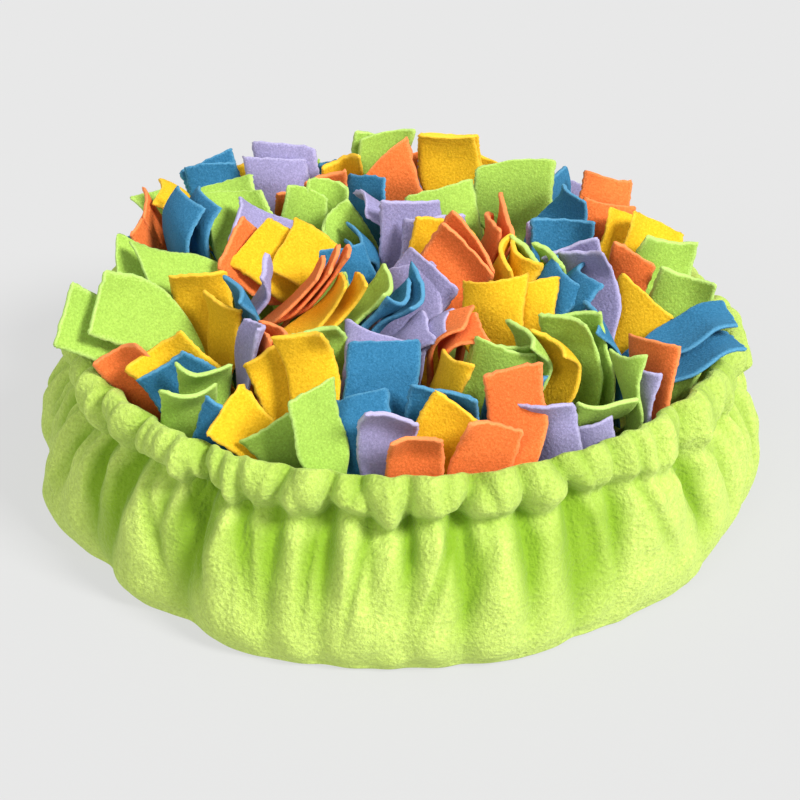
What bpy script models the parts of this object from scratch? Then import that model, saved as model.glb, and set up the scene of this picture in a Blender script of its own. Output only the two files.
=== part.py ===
"""Snuffle mat: a gathered fleece bowl packed with tufts of fleece strips.

Run with: blender --background --python part.py

Frame: +Z up, metres. The origin is the middle of the flat underside, on the surface it rests on.
Azimuths are counted from +X towards +Y, so the front of the mat is at -90 degrees.
"""
import math
import random

import bmesh
import bpy
from mathutils import Vector
from mathutils.bvhtree import BVHTree

MM = 0.001

# ---- driving sizes ------------------------------------------------------------------------------
CLOTH = 2.5 * MM              # thickness of every fleece in the mat
STEM_WIDTH = 10 * MM          # a strip where it is pinched at the root
FULL_WIDTH_LENGTH = 32 * MM   # how much of the free end has the full width
TAPER_LENGTH = 30 * MM        # from the full width down to the stem
CURL_LENGTH = 50 * MM         # the free end that a strip's curl bends
SLIGHT_CURL = 22.0            # degrees, how much more or less one row of strips bends than the next
HEAD_HEIGHT = 8 * MM          # pinched head that holds a tuft's strips together
PAGE_PITCH = 3.4 * MM         # strips across a head, face to face
GAP = 0.3 * MM                # between pieces that touch
CLEARANCE = 0.45 * MM         # kept all around a strip while it is planted
ROOT_SPREAD = 0.70            # a root's distance from the centre, as a share of its tip's distance
ROOT_LIMIT = 150 * MM         # roots stay inside this radius
STEM_STEPS = 3                # mesh steps along a strip's hidden part
CURL_STEPS = 3                # mesh steps along its free end

# ---- how knots make room for each other ----------------------------------------------------------
ROOT_STEP = 6.0               # mm, one move of a root along x or y
ROOT_MOVE_LIMIT = 42.0        # mm
TIP_MOVES = ((3.0, 12.0), (3.0, 12.0), (3.0, 12.0), (7.0, 28.0), (6.0, 24.0))
#             x mm         y mm         z mm         face deg     lean deg: step and limit
MOVE_SCALES = 3               # a knot that is stuck tries moves this many times larger
SETTLING_ROUNDS = 12
NARROWING = 0.95              # a knot that stays stuck gets narrower strips by this share each round
SHAKES = 2                    # fresh starts for a knot that stays stuck
SHAKE_REACH = 0.65            # how far a fresh start goes, as a share of each limit
MATE_CLEARANCE = 0.35         # room between strips of one knot, as a share of the clearance
SHAKE_SEED = 7
NEAR = 45 * MM                # neighbours farther off than this are not tested

# ---- cover --------------------------------------------------------------------------------------
# name, radius_mm, height_mm, fold_share, crease_share: outer side from the floor up to the rim
COVER_OUTER = [
    ("floor", 120, 0.0, 0.0, 0.0),
    ("floor_edge", 187, 0.0, 0.20, 0.0),
    ("turn", 200, 5.0, 0.45, 0.0),
    ("belly_low", 205.5, 18.0, 0.60, 0.0),
    ("belly", 205, 36.0, 0.75, 0.0),
    ("wall", 202, 53.0, 0.90, 0.0),
    ("neck", 195, 67.0, 1.0, 0.0),
    ("stitch_line", 185, 77.0, 0.7, 0.3),
    ("casing", 192.5, 89.0, 0.35, 1.0),
    ("casing_top", 190.5, 102.0, 0.22, 1.0),
    ("rim", 183, 109.0, 0.18, 1.0),
]
# the inner side, from the rim back down to the floor; the casing is a thick roll, the rest one cloth
COVER_INNER = [
    ("rim_inside", 176.5, 103.5, 0.18, 0.8),
    ("casing_inside", 175.5, 90.0, 0.32, 0.5),
    ("stitch_inside", 181.6, 76.5, 0.7, 0.3),
    ("neck_inside", 191.6, 66.0, 1.0, 0.0),
    ("wall_inside", 198.8, 52.2, 0.90, 0.0),
    ("belly_inside", 202, 36.0, 0.75, 0.0),
    ("belly_low_inside", 202.3, 18.8, 0.60, 0.0),
    ("turn_inside", 197, 7.4, 0.45, 0.0),
    ("floor_edge_inside", 186, 2.6, 0.20, 0.0),
    ("floor_inside", 120, 2.5, 0.0, 0.0),
]
FLOOR_TOP = 2.5 * MM
STITCH_HEIGHT = 77 * MM
RIM_HEIGHT = 109 * MM
# troughs of the gathered wall: azimuth_deg, depth_mm, half_width_deg (at half depth), reach (how much is
# left of the trough low down on the wall), slant_deg (how far it wanders sideways from rim to floor)
FOLDS = [
    (-178, 13, 2.2, 0.4, 2), (-168, 18, 2.5, 0.7, -3), (-158, 12, 1.9, 0.3, 2),
    (-149, 18, 2.4, 0.7, 3), (-140, 19, 2.5, 0.8, -2), (-131.5, 9, 1.6, 0.1, 2),
    (-123.5, 23, 3.0, 0.8, -2), (-116, 9, 1.5, 0.1, 1), (-110.5, 18, 2.4, 0.7, 1),
    (-101.5, 18, 2.2, 0.6, 0), (-94.5, 11, 1.6, 0.2, 1), (-88, 15, 1.9, 0.5, -1),
    (-79.5, 19, 2.4, 0.8, -1), (-69.5, 18, 2.3, 0.6, -1), (-61, 20, 2.6, 0.9, -1),
    (-53.5, 16, 2.1, 0.5, -2), (-37.5, 17, 2.6, 0.8, 3), (-26, 11, 2.1, 0.4, 0),
    (-16, 12, 2.3, 0.8, -3), (-5, 10, 2.1, 0.4, 2), (7, 12, 2.4, 0.7, -3),
    (18, 13, 2.1, 0.4, 2), (29, 17, 2.4, 0.8, -3), (40, 14, 2.1, 0.4, 3),
    (51, 17, 2.2, 0.7, -2), (62, 13, 2.0, 0.3, 3), (73, 18, 2.4, 0.8, -3),
    (84, 14, 2.1, 0.5, 2), (95, 17, 2.2, 0.7, -2), (106, 13, 2.0, 0.3, 3),
    (117, 18, 2.4, 0.9, -3), (128, 14, 2.1, 0.4, 2), (139, 17, 2.4, 0.8, 3),
    (150, 13, 2.0, 0.3, -2), (161, 17, 2.2, 0.7, 3), (171, 13, 2.0, 0.4, -2),
]
FOLD_SHARPNESS = 1.4          # 2 is a round valley, 1 a sharp one
LOW_SPREAD = 1.6              # a trough's width at the floor, against its width at the stitch line
DEEP_TROUGH = 16.0            # mm, a trough that makes a full crease in the casing
STATION_SHARES = (0.0, 0.27, 0.5, 0.73)   # mesh stations from one trough to the next
# slow swells of the whole cover: azimuth_deg, low_mm (at the floor), high_mm (at the rim), half_width_deg
SWELLS = [(-8, -1, 14, 32), (-88, 4, 2, 40), (-105, 5, 0, 9), (-70, 4, 1, 9), (-150, 0, 2, 20),
          (60, 2, 4, 25), (140, 2, 3, 25)]
CREASE_DEPTH = 8.0 * MM       # creases of the gathered casing, at the troughs
MID_CREASE = 0.55             # lesser creases halfway between, as a share
CREASE_WIDTH = 1.5            # degrees
CREASE_CHANGE = 0.5           # how much the lesser creases differ, as a share
CREASE_RHYTHM = 2.3           # radians from one lesser crease to the next in that change
BACK_SAG = 16 * MM            # how much lower the rim lies at the back and, less so, at the sides
SAG_START = -0.35             # sine of the azimuth where the sag begins
SAG_SPAN = 0.7                # and by how much it rises to the full sag
RIM_DIP = 6.0 * MM            # how far the rim's top edge dips at a crease

# ---- tufts --------------------------------------------------------------------------------------
COLOURS = {
    "green": (0.45, 0.72, 0.09),
    "yellow": (1.00, 0.62, 0.01),
    "orange": (0.95, 0.21, 0.03),
    "blue": (0.03, 0.28, 0.55),
    "lavender": (0.38, 0.29, 0.60),
}
# One row for each group of like strips. knot: rows with one number are pinched together at the root
# into one tuft. x, y, z: middle of the first strip's free end, in mm. face: azimuth that the strip's
# broad side faces. lean: how far the free end lies back from that side. tilt: how far the strip leans
# sideways, in its own plane. curl: bend of the free end towards the faced side. wide: width in mm.
# strips: how many. step_x, step_y, step_z: from one strip's free end to the next one's, in mm.
STRIP_COLUMNS = ("knot", "colour", "x", "y", "z", "face", "lean", "tilt", "curl", "wide", "strips",
                 "step_x", "step_y", "step_z")
STRIPS = [
    # back edge, left to right
    (1, "yellow", -130, 74, 142, 355, 5, 0, 55, 33, 1, 0, 0, 0),
    (1, "green", -133, 97, 126, 143, -18, 0, 0, 34, 1, 0, 0, 0),
    (2, "blue", -112, 118, 138, 265, 30, -17, 0, 33, 2, -3, 10, -3),
    (2, "yellow", -97, 137, 126, 125, -15, 0, 0, 33, 1, 0, 0, 0),
    (3, "lavender", -72, 108, 147, 270, 15, -6, 0, 37, 2, 6, 9, 3),
    (3, "green", -62, 147, 125, 112, -14, 0, 0, 35, 1, 0, 0, 0),
    (4, "yellow", -34, 106, 150, 270, 8, -5, 15, 25, 1, 0, 0, 0),
    (4, "orange", -58, 78, 142, 275, 12, 0, 0, 27, 2, 14, 12, 6),
    (4, "blue", -30, 150, 126, 100, -14, 0, 0, 34, 1, 0, 0, 0),
    (5, "green", -6, 126, 150, 270, 8, 12, 0, 31, 2, -4, 8, -4),
    (5, "orange", 4, 155, 124, 90, -14, 0, 0, 33, 1, 0, 0, 0),
    (6, "yellow", 31, 112, 161, 270, 4, -5, 0, 36, 2, 2, 7, -4),
    (6, "lavender", 36, 149, 126, 77, -14, 0, 0, 34, 1, 0, 0, 0),
    (7, "green", 68, 86, 155, 272, 10, 3, -8, 41, 1, 0, 0, 0),
    (7, "blue", 90, 98, 140, 330, 5, 0, 0, 31, 1, 0, 0, 0),
    (7, "yellow", 68, 137, 126, 64, -15, 0, 0, 35, 1, 0, 0, 0),
    (7, "orange", 66, 110, 140, 95, 0, 0, 0, 32, 1, 0, 0, 0),
    (8, "orange", 118, 50, 147, 268, 22, 14, -18, 33, 2, 2, 28, 0),
    (8, "lavender", 101, 119, 124, 50, -16, 0, 0, 33, 1, 0, 0, 0),
    (9, "yellow", 144, 34, 141, 282, 28, 20, -12, 34, 2, -14, 8, 2),
    (9, "green", 129, 92, 123, 36, -18, 0, 0, 34, 1, 0, 0, 0),
    (10, "green", 152, 22, 134, 285, 40, 20, 15, 33, 1, 0, 0, 0),
    (10, "green", 162, -12, 130, 250, 35, 15, 10, 30, 1, 0, 0, 0),
    (10, "orange", 150, 60, 121, 22, -20, 0, 0, 33, 1, 0, 0, 0),
    # second row
    (11, "orange", -144, 40, 135, 350, 30, -10, -15, 29, 2, 2, 16, 5),
    (11, "blue", -150, 66, 122, 157, -18, 0, 0, 33, 1, 0, 0, 0),
    (12, "blue", -120, 38, 152, 205, 5, 0, 10, 35, 2, 11, 3, -2),
    (13, "green", -94, 58, 150, 275, 20, -12, 35, 36, 2, -6, 20, -2),
    (14, "green", -54, 52, 150, 262, 12, 14, 0, 25, 2, 12, 8, 2),
    (14, "green", -34, 30, 151, 305, 28, -20, 0, 31, 1, 0, 0, 0),
    (15, "blue", -20, 78, 149, 240, 10, -22, 0, 31, 1, 0, 0, 0),
    (15, "orange", -8, 90, 151, 278, 12, -20, -15, 33, 1, 0, 0, 0),
    (16, "lavender", -100, 26, 149, 290, 38, -40, 0, 33, 1, 0, 0, 0),
    (16, "orange", -92, 4, 148, 290, 42, -40, 0, 35, 1, 0, 0, 0),
    (17, "blue", -24, 8, 148, 180, -60, 0, 75, 31, 2, 4, 9, 4),
    (17, "lavender", -22, 32, 154, 180, -60, 0, 70, 31, 1, 0, 0, 0),
    (18, "lavender", 14, 14, 153, 282, 5, 5, 0, 35, 2, -12, 14, 4),
    (19, "green", 27, 42, 155, 270, 14, 0, 0, 41, 1, 0, 0, 0),
    (20, "orange", 68, 16, 153, 195, 32, 0, 0, 33, 2, -9, -3, -2),
    (20, "yellow", 74, -6, 152, 195, 30, 0, 0, 33, 2, -7, -3, 1),
    (21, "blue", 90, 22, 149, 268, 8, -2, 0, 35, 1, 0, 0, 0),
    (21, "lavender", 88, 38, 142, 270, 18, 0, 0, 33, 1, 0, 0, 0),
    (22, "blue", 106, 54, 148, 215, 35, 0, 25, 29, 1, 0, 0, 0),
    # middle
    (23, "yellow", -78, -10, 149, 290, 45, -42, 0, 35, 2, 18, -4, 1),
    (24, "green", -52, -20, 149, 278, 35, -8, 0, 35, 1, 0, 0, 0),
    (24, "lavender", -54, -42, 147, 200, 20, 10, 0, 27, 1, 0, 0, 0),
    (25, "blue", -26, -20, 147, 282, 48, -18, 0, 31, 1, 0, 0, 0),
    (25, "lavender", -6, -42, 147, 268, 50, -16, 0, 33, 1, 0, 0, 0),
    (26, "orange", -36, -56, 150, 188, 30, 0, 0, 31, 3, -8, -3, -2),
    (27, "yellow", -18, -60, 150, 190, 34, 0, 0, 31, 2, -10, -2, 0),
    (28, "green", 2, -60, 149, 192, 38, 0, 10, 29, 1, 0, 0, 0),
    (28, "blue", 16, -66, 148, 190, 36, 0, 0, 31, 2, -8, -2, -1),
    (29, "lavender", 33, -74, 147, 192, 36, 0, 0, 31, 2, -9, -2, -2),
    (30, "lavender", 23, -34, 155, 255, 14, 36, -8, 36, 1, 0, 0, 0),
    (31, "orange", 40, -26, 156, 250, 10, 34, 15, 37, 2, 4, 9, 1),
    (31, "yellow", 26, 4, 154, 268, 12, 8, 0, 37, 1, 0, 0, 0),
    (32, "yellow", 62, -52, 149, 248, 25, -8, 0, 39, 2, 16, 2, -2),
    (33, "green", 88, -30, 149, 232, 10, 12, 0, 29, 2, -12, 8, 0),
    (34, "blue", 103, -44, 148, 205, 5, 8, 0, 33, 2, -10, 2, 0),
    (35, "lavender", 116, -26, 149, 242, 22, -22, 0, 31, 2, -6, 8, 0),
    (36, "orange", 134, -8, 141, 268, 15, 8, 0, 27, 1, 0, 0, 0),
    (36, "yellow", 150, -44, 132, 252, 32, 32, 0, 35, 1, 0, 0, 0),
    (37, "green", 164, -48, 128, 215, 20, 0, 0, 31, 1, 0, 0, 0),
    (37, "blue", 177, -60, 123, 205, 60, 0, 0, 28, 2, -2, 12, 9),
    # front left
    (38, "green", -154, -20, 137, 290, 42, -52, 25, 35, 2, 14, -14, 6),
    (39, "yellow", -108, -34, 147, 266, 16, -4, 35, 35, 1, 0, 0, 0),
    (39, "yellow", -98, -58, 140, 205, 20, 0, 0, 27, 1, 0, 0, 0),
    (40, "blue", -86, -62, 143, 205, -40, 0, 60, 31, 1, 0, 0, 0),
    (40, "lavender", -78, -86, 142, 195, 25, 0, 0, 29, 1, 0, 0, 0),
    (41, "green", -158, -60, 128, 288, 42, -62, 12, 35, 2, -18, -2, -6),
    (42, "yellow", -122, -80, 134, 276, 34, -34, -15, 37, 1, 0, 0, 0),
    (42, "orange", -146, -88, 121, 262, 10, -34, 0, 31, 1, 0, 0, 0),
    (43, "blue", -118, -98, 128, 290, 14, -40, 0, 33, 1, 0, 0, 0),
    (44, "green", -104, -110, 122, 292, -22, 6, 62, 30, 2, -6, -12, -5),
    (44, "blue", -88, -130, 117, 255, -8, 16, 20, 27, 1, 0, 0, 0),
    # front middle
    (45, "orange", -70, -98, 141, 195, 20, 0, 0, 31, 2, -9, -2, -2),
    (46, "yellow", -62, -112, 138, 285, 10, -30, 0, 33, 1, 0, 0, 0),
    (46, "yellow", -84, -134, 127, 290, 26, -48, 0, 31, 1, 0, 0, 0),
    (47, "green", -66, -152, 119, 280, 4, -44, 0, 37, 1, 0, 0, 0),
    (47, "green", -42, -140, 131, 330, 20, 0, 0, 33, 1, 0, 0, 0),
    (48, "yellow", -42, -104, 143, 262, 14, -25, 0, 31, 1, 0, 0, 0),
    (48, "green", -45, -95, 145, 262, 14, -25, 0, 31, 1, 0, 0, 0),
    (49, "lavender", -10, -106, 146, 270, 15, 0, 0, 37, 1, 0, 0, 0),
    (49, "blue", -4, -117, 147, 270, 15, 0, 0, 39, 1, 0, 0, 0),
    (49, "blue", -20, -136, 126, 266, 25, -4, 0, 37, 1, 0, 0, 0),
    (50, "lavender", -3, -149, 129, 270, 2, 10, 12, 27, 1, 0, 0, 0),
    (50, "orange", 9, -158, 121, 272, 0, 3, 0, 28, 1, 0, 0, 0),
    (51, "yellow", 30, -147, 130, 262, 10, 26, 0, 31, 1, 0, 0, 0),
    (51, "blue", 32, -139, 131, 270, 15, 3, 0, 35, 1, 0, 0, 0),
    (52, "orange", 50, -156, 123, 270, -4, 20, 0, 31, 1, 0, 0, 0),
    (52, "orange", 57, -132, 138, 270, 5, -8, 40, 32, 1, 0, 0, 0),
    # front right
    (53, "blue", 70, -121, 140, 272, 10, 8, 35, 30, 1, 0, 0, 0),
    (53, "lavender", 82, -136, 125, 275, -4, -8, -12, 34, 1, 0, 0, 0),
    (54, "green", 48, -106, 145, 268, 10, 18, 25, 31, 2, -2, 8, -3),
    (54, "yellow", 27, -117, 139, 200, 5, 0, 0, 27, 1, 0, 0, 0),
    (55, "orange", 42, -92, 147, 180, 55, 0, -40, 29, 2, -6, 6, 3),
    (56, "yellow", 84, -106, 143, 230, 0, 0, 0, 25, 1, 0, 0, 0),
    (56, "green", 76, -96, 143, 215, 10, 0, 0, 27, 1, 0, 0, 0),
    (57, "green", 97, -82, 143, 240, 15, -10, -30, 30, 2, 8, 8, -2),
    (57, "blue", 114, -78, 141, 205, 5, 0, 0, 31, 1, 0, 0, 0),
    (58, "orange", 136, -88, 134, 215, 10, 0, 30, 33, 1, 0, 0, 0),
    (58, "lavender", 126, -100, 125, 225, 10, 0, 0, 27, 1, 0, 0, 0),
    (59, "green", 117, -104, 129, 205, -14, 0, 44, 28, 1, 0, 0, 0),
    (59, "lavender", 98, -126, 121, 262, -6, -10, 0, 29, 1, 0, 0, 0),
    (59, "green", 110, -130, 118, 306, -20, -6, 0, 36, 1, 0, 0, 0),
]


def smooth(share):
    """Ease from 0 to 1."""
    share = min(max(share, 0.0), 1.0)
    return share * share * (3.0 - 2.0 * share)


def bump(angle, centre, half_width):
    """Soft hump of height 1 around an azimuth, all in degrees."""
    away = (angle - centre + 180.0) % 360.0 - 180.0
    return math.exp(-0.5 * (away / half_width) ** 2)


def valley(angle, centre, half_width):
    """Trough of depth 1 with a narrow bottom, half as deep at its half width, all in degrees."""
    away = abs((angle - centre + 180.0) % 360.0 - 180.0)
    return 0.5 ** ((away / half_width) ** FOLD_SHARPNESS)


def clear_scene():
    """Remove what the file opened with."""
    for old in list(bpy.data.objects):
        bpy.data.objects.remove(old, do_unlink=True)


def fleece(name, colour):
    """Matt cloth material."""
    material = bpy.data.materials.new(name)
    material.use_nodes = True
    shader = material.node_tree.nodes["Principled BSDF"]
    shader.inputs["Base Color"].default_value = (*colour, 1.0)
    shader.inputs["Roughness"].default_value = 0.95
    shader.inputs["Metallic"].default_value = 0.0
    return material


def add_object(name, mesh, materials):
    """Link a mesh as a named, smooth-shaded object."""
    for material in materials:
        mesh.materials.append(material)
    mesh.shade_smooth()
    mesh.set_sharp_from_angle(angle=math.radians(50))
    made = bpy.data.objects.new(name, mesh)
    bpy.context.collection.objects.link(made)
    return made


# ---- cover --------------------------------------------------------------------------------------
def fold_depth(azimuth, height_share, share):
    """How far the gathered folds draw the wall in at one place."""
    depth = 0.0
    spread = LOW_SPREAD + (1.0 - LOW_SPREAD) * height_share
    for centre, deep, half_width, reach, slant in FOLDS:
        left = reach + (1.0 - reach) * smooth(height_share)
        wander = slant * (1.0 - height_share)
        depth += deep * MM * left * valley(azimuth, centre + wander, half_width * spread)
    return depth * share


def crease(azimuth):
    """How far the casing is drawn in at its uneven creases, between 0 and about 1."""
    drawn = 0.0
    for i, (centre, deep, _, _, _) in enumerate(FOLDS):
        following = FOLDS[(i + 1) % len(FOLDS)][0]
        middle = centre + (following - centre) % 360.0 / 2.0
        lesser = MID_CREASE * (1.0 + CREASE_CHANGE * math.sin(CREASE_RHYTHM * i))
        drawn += deep / DEEP_TROUGH * bump(azimuth, centre, CREASE_WIDTH)
        drawn += lesser * bump(azimuth, middle, CREASE_WIDTH)
    return drawn


def station_azimuths(height_share):
    """Azimuths of the mesh stations at one height: they follow the troughs down the wall."""
    azimuths = []
    for i, fold in enumerate(FOLDS):
        following = FOLDS[(i + 1) % len(FOLDS)]
        centre = fold[0] + fold[4] * (1.0 - height_share)
        span = (following[0] + following[4] * (1.0 - height_share) - centre) % 360.0
        azimuths += [centre + span * share for share in STATION_SHARES]
    return azimuths


def cover_point(azimuth, row):
    """One point of the cover, from a profile row."""
    _, radius, height, fold_share, crease_share = row
    up = height * MM
    height_share = min(up / STITCH_HEIGHT, 1.0)
    rim_share = up / RIM_HEIGHT
    drawn = crease(azimuth) * crease_share
    swell = sum((low + (high - low) * rim_share) * bump(azimuth, centre, wide)
                for centre, low, high, wide in SWELLS)
    reach = radius * MM + swell * MM * smooth(fold_share * 5.0)
    reach -= fold_depth(azimuth, height_share, fold_share) + CREASE_DEPTH * drawn
    turn = math.radians(azimuth)
    up -= RIM_DIP * drawn * smooth(4.0 * rim_share - 3.0)
    up -= BACK_SAG * smooth((math.sin(turn) - SAG_START) / SAG_SPAN) * smooth(rim_share)
    return Vector((reach * math.cos(turn), reach * math.sin(turn), up))


def cover_mesh():
    """The whole cover: floor, folded wall and gathered casing, as one closed shell of cloth."""
    bm = bmesh.new()
    rings = []
    for row in COVER_OUTER + COVER_INNER:
        height_share = min(row[2] * MM / STITCH_HEIGHT, 1.0)
        rings.append([bm.verts.new(cover_point(a, row)) for a in station_azimuths(height_share)])
    for lower, upper in zip(rings, rings[1:]):
        for i in range(len(lower)):
            j = (i + 1) % len(lower)
            bm.faces.new((lower[i], lower[j], upper[j], upper[i]))
    bm.faces.new(list(reversed(rings[0])))
    bm.faces.new(rings[-1])
    bmesh.ops.triangulate(bm, faces=bm.faces[:])
    mesh = bpy.data.meshes.new("cover")
    bm.to_mesh(mesh)
    bm.free()
    return mesh


# ---- strips and tufts ---------------------------------------------------------------------------
def strip_axes(strip, turn):
    """Length, width and facing directions of a strip's free end."""
    azimuth = math.radians(strip["face"] + turn[0])
    back = math.radians(strip["lean"] + turn[1])
    side = math.radians(strip["tilt"])
    toward = Vector((math.cos(azimuth), math.sin(azimuth), 0.0))
    length = -toward * math.sin(back) + Vector((0.0, 0.0, math.cos(back)))
    width = Vector((-toward.y, toward.x, 0.0))
    tilted_length = length * math.cos(side) + width * math.sin(side)
    tilted_width = width * math.cos(side) - length * math.sin(side)
    return tilted_length, tilted_width, tilted_width.cross(tilted_length).normalized()


def free_end_line(tip, axes, curl):
    """Points and headings of the curled free end, from its start to the tip."""
    length_axis, _, face_axis = axes
    line = [(tip.copy(), length_axis.copy())]
    place = tip.copy()
    for i in range(CURL_STEPS):
        bent = curl * (i + 0.5) / CURL_STEPS
        place = place - (length_axis * math.cos(bent) - face_axis * math.sin(bent)) * CURL_LENGTH / CURL_STEPS
        bent = curl * (i + 1) / CURL_STEPS
        line.append((place.copy(), length_axis * math.cos(bent) - face_axis * math.sin(bent)))
    line.reverse()
    return line


def stem_line(root, start, heading):
    """Points and headings of the hidden part: an easy curve that leaves the root upwards."""
    span = (start - root).length
    rise = Vector((0.0, 0.0, span))
    pull = heading * span
    line = []
    for i in range(STEM_STEPS):
        s = i / STEM_STEPS
        point = (root * (2 * s ** 3 - 3 * s ** 2 + 1) + rise * (s ** 3 - 2 * s ** 2 + s)
                 + start * (3 * s ** 2 - 2 * s ** 3) + pull * (s ** 3 - s ** 2))
        slope = ((start - root) * (6 * s - 6 * s ** 2) + rise * (3 * s ** 2 - 4 * s + 1)
                 + pull * (3 * s ** 2 - 2 * s))
        line.append((point, slope.normalized(), smooth(1.1 * s)))
    return line


def strip_sections(strip):
    """Sections of one strip from root to tip: centre, width axis, face axis and width."""
    axes = strip["axes"]
    free_end = free_end_line(strip["tip"], axes, math.radians(strip["curl"]))
    line = stem_line(strip["start"], *free_end[0]) + [(point, heading, 1.0) for point, heading in free_end]
    sections, left = [], 0.0
    for i in range(len(line) - 1, -1, -1):
        point, heading, turned = line[i]
        if i < len(line) - 1:
            left += (line[i + 1][0] - point).length
        across = strip["across"].lerp(axes[1], turned)
        across = (across - heading * across.dot(heading)).normalized()
        narrowing = smooth((left - FULL_WIDTH_LENGTH) / TAPER_LENGTH)
        width = strip["wide"] + (STEM_WIDTH - strip["wide"]) * narrowing
        sections.append((point, across, across.cross(heading).normalized(), width))
    sections.reverse()
    return sections


def knot_strips(rows, moves):
    """Each strip of a knot: its colour, tip, axes, curl and width, with the moves of its row."""
    strips = []
    for row, move in zip(rows, moves):
        axes = strip_axes(row, move[3:])
        for i in range(row["strips"]):
            tip = Vector([row[k] + row["step_" + k] * i for k in "xyz"]) * MM + Vector(move[:3]) * MM
            curl = row["curl"] + SLIGHT_CURL * math.sin(row["x"])
            strips.append({"colour": row["colour"], "tip": tip, "axes": axes, "curl": curl,
                           "wide": row["wide"] * MM})
    return strips


def knot_layout(rows, root_move, moves):
    """Root, head axes and the strips of one knot in their order through the head."""
    strips = knot_strips(rows, moves)
    middle = sum((s["tip"] for s in strips), Vector()) / len(strips)
    root = Vector((middle.x, middle.y, 0.0)) * ROOT_SPREAD + Vector((*root_move, 0.0)) * MM
    if root.length > ROOT_LIMIT:
        root *= ROOT_LIMIT / root.length
    root.z = FLOOR_TOP + GAP
    across = strips[0]["axes"][1].copy()
    across.z = 0.0
    across.normalize()
    through = across.cross(Vector((0.0, 0.0, 1.0)))
    strips.sort(key=lambda s: s["tip"].dot(through))
    for i, strip in enumerate(strips):
        length_axis, width_axis, face_axis = strip["axes"]
        if width_axis.dot(across) < 0.0:
            strip["axes"] = (length_axis, -width_axis, -face_axis)
            strip["curl"] = -strip["curl"]
        place = (i - (len(strips) - 1) / 2.0) * PAGE_PITCH
        strip["start"] = root + through * place + Vector((0.0, 0.0, HEAD_HEIGHT))
        strip["across"] = across
    return across, through, strips


def ring_corners(section, grow):
    """Four corners of a strip's section, grown all around by a clearance."""
    point, across, facing, width = section
    half_width = across * (width / 2.0 + grow)
    half_cloth = facing * (CLOTH / 2.0 + grow)
    return [point - half_width - half_cloth, point + half_width - half_cloth,
            point + half_width + half_cloth, point - half_width + half_cloth]


def strip_mesh_data(sections, grow):
    """Points and faces of one free strip, for testing what it meets."""
    points, faces = [], []
    for section in sections:
        points += ring_corners(section, grow)
    for start in range(0, len(points) - 4, 4):
        for a in range(4):
            b = (a + 1) % 4
            faces.append((start + a, start + b, start + 4 + b, start + 4 + a))
    last = len(points) - 4
    faces += [(3, 2, 1, 0), (last, last + 1, last + 2, last + 3)]
    return points, faces


def knot_mesh_data(layout):
    """Points, faces and face colours of one knot: a pinched head with strips growing out of its top."""
    across, through, strips = layout
    points, faces, colours = [], [], []
    half = across * STEM_WIDTH / 2.0
    top_near, top_far = [], []
    for strip in strips:
        at = len(points)
        for side in (-0.5, 0.5):
            edge = strip["start"] + through * side * CLOTH
            points += [edge - half, edge + half]
        top_near += [at, at + 2]
        top_far += [at + 1, at + 3]
        ring = [at, at + 1, at + 3, at + 2]
        for section in strip_sections(strip)[1:]:
            at = len(points)
            points += ring_corners(section, 0.0)
            new = [at, at + 1, at + 2, at + 3]
            for a in range(4):
                b = (a + 1) % 4
                faces.append((ring[a], ring[b], new[b], new[a]))
            ring = new
        faces.append(tuple(ring))
        colours += [strip["colour"]] * (len(faces) - len(colours))
    for i in range(1, len(top_near) - 1, 2):
        faces.append((top_near[i], top_far[i], top_far[i + 1], top_near[i + 1]))
    foot = len(points)
    down = Vector((0.0, 0.0, HEAD_HEIGHT))
    points += [points[i] - down for i in (top_near[0], top_far[0], top_far[-1], top_near[-1])]
    faces.append((foot + 3, foot + 2, foot + 1, foot))
    faces.append((foot, foot + 1, top_far[0], top_near[0]))
    faces.append((foot + 2, foot + 3, top_near[-1], top_far[-1]))
    faces.append((foot + 1, foot + 2, *reversed(top_far)))
    faces.append((foot + 3, foot, *top_near))
    colours += [strips[0]["colour"]] * (len(faces) - len(colours))
    return points, faces, colours


# ---- planting: every knot keeps clear of the cover and of its neighbours -------------------------
def strip_trees(strip, grow):
    """Search trees of one strip, with and without its share of the head, and its box."""
    sections = strip_sections(strip)
    point, across, facing, width = sections[0]
    foot = (point - Vector((0.0, 0.0, HEAD_HEIGHT)), across, facing, width)
    points, faces = strip_mesh_data([foot] + sections, grow)
    low = [min(p[k] for p in points) for k in range(3)]
    high = [max(p[k] for p in points) for k in range(3)]
    free_points, free_faces = strip_mesh_data(sections, grow * MATE_CLEARANCE)
    return (BVHTree.FromPolygons(points, faces), low, high,
            BVHTree.FromPolygons(free_points, free_faces))


def apart(a, b):
    """Whether two trees' boxes are apart."""
    return any(a[1][k] > b[2][k] or b[1][k] > a[2][k] for k in range(3))


def with_step(values, index, step, limit):
    """A copy of a tuple with one value stepped and kept within a limit."""
    changed = list(values)
    changed[index] = max(-limit, min(limit, changed[index] + step))
    return tuple(changed)


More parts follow.
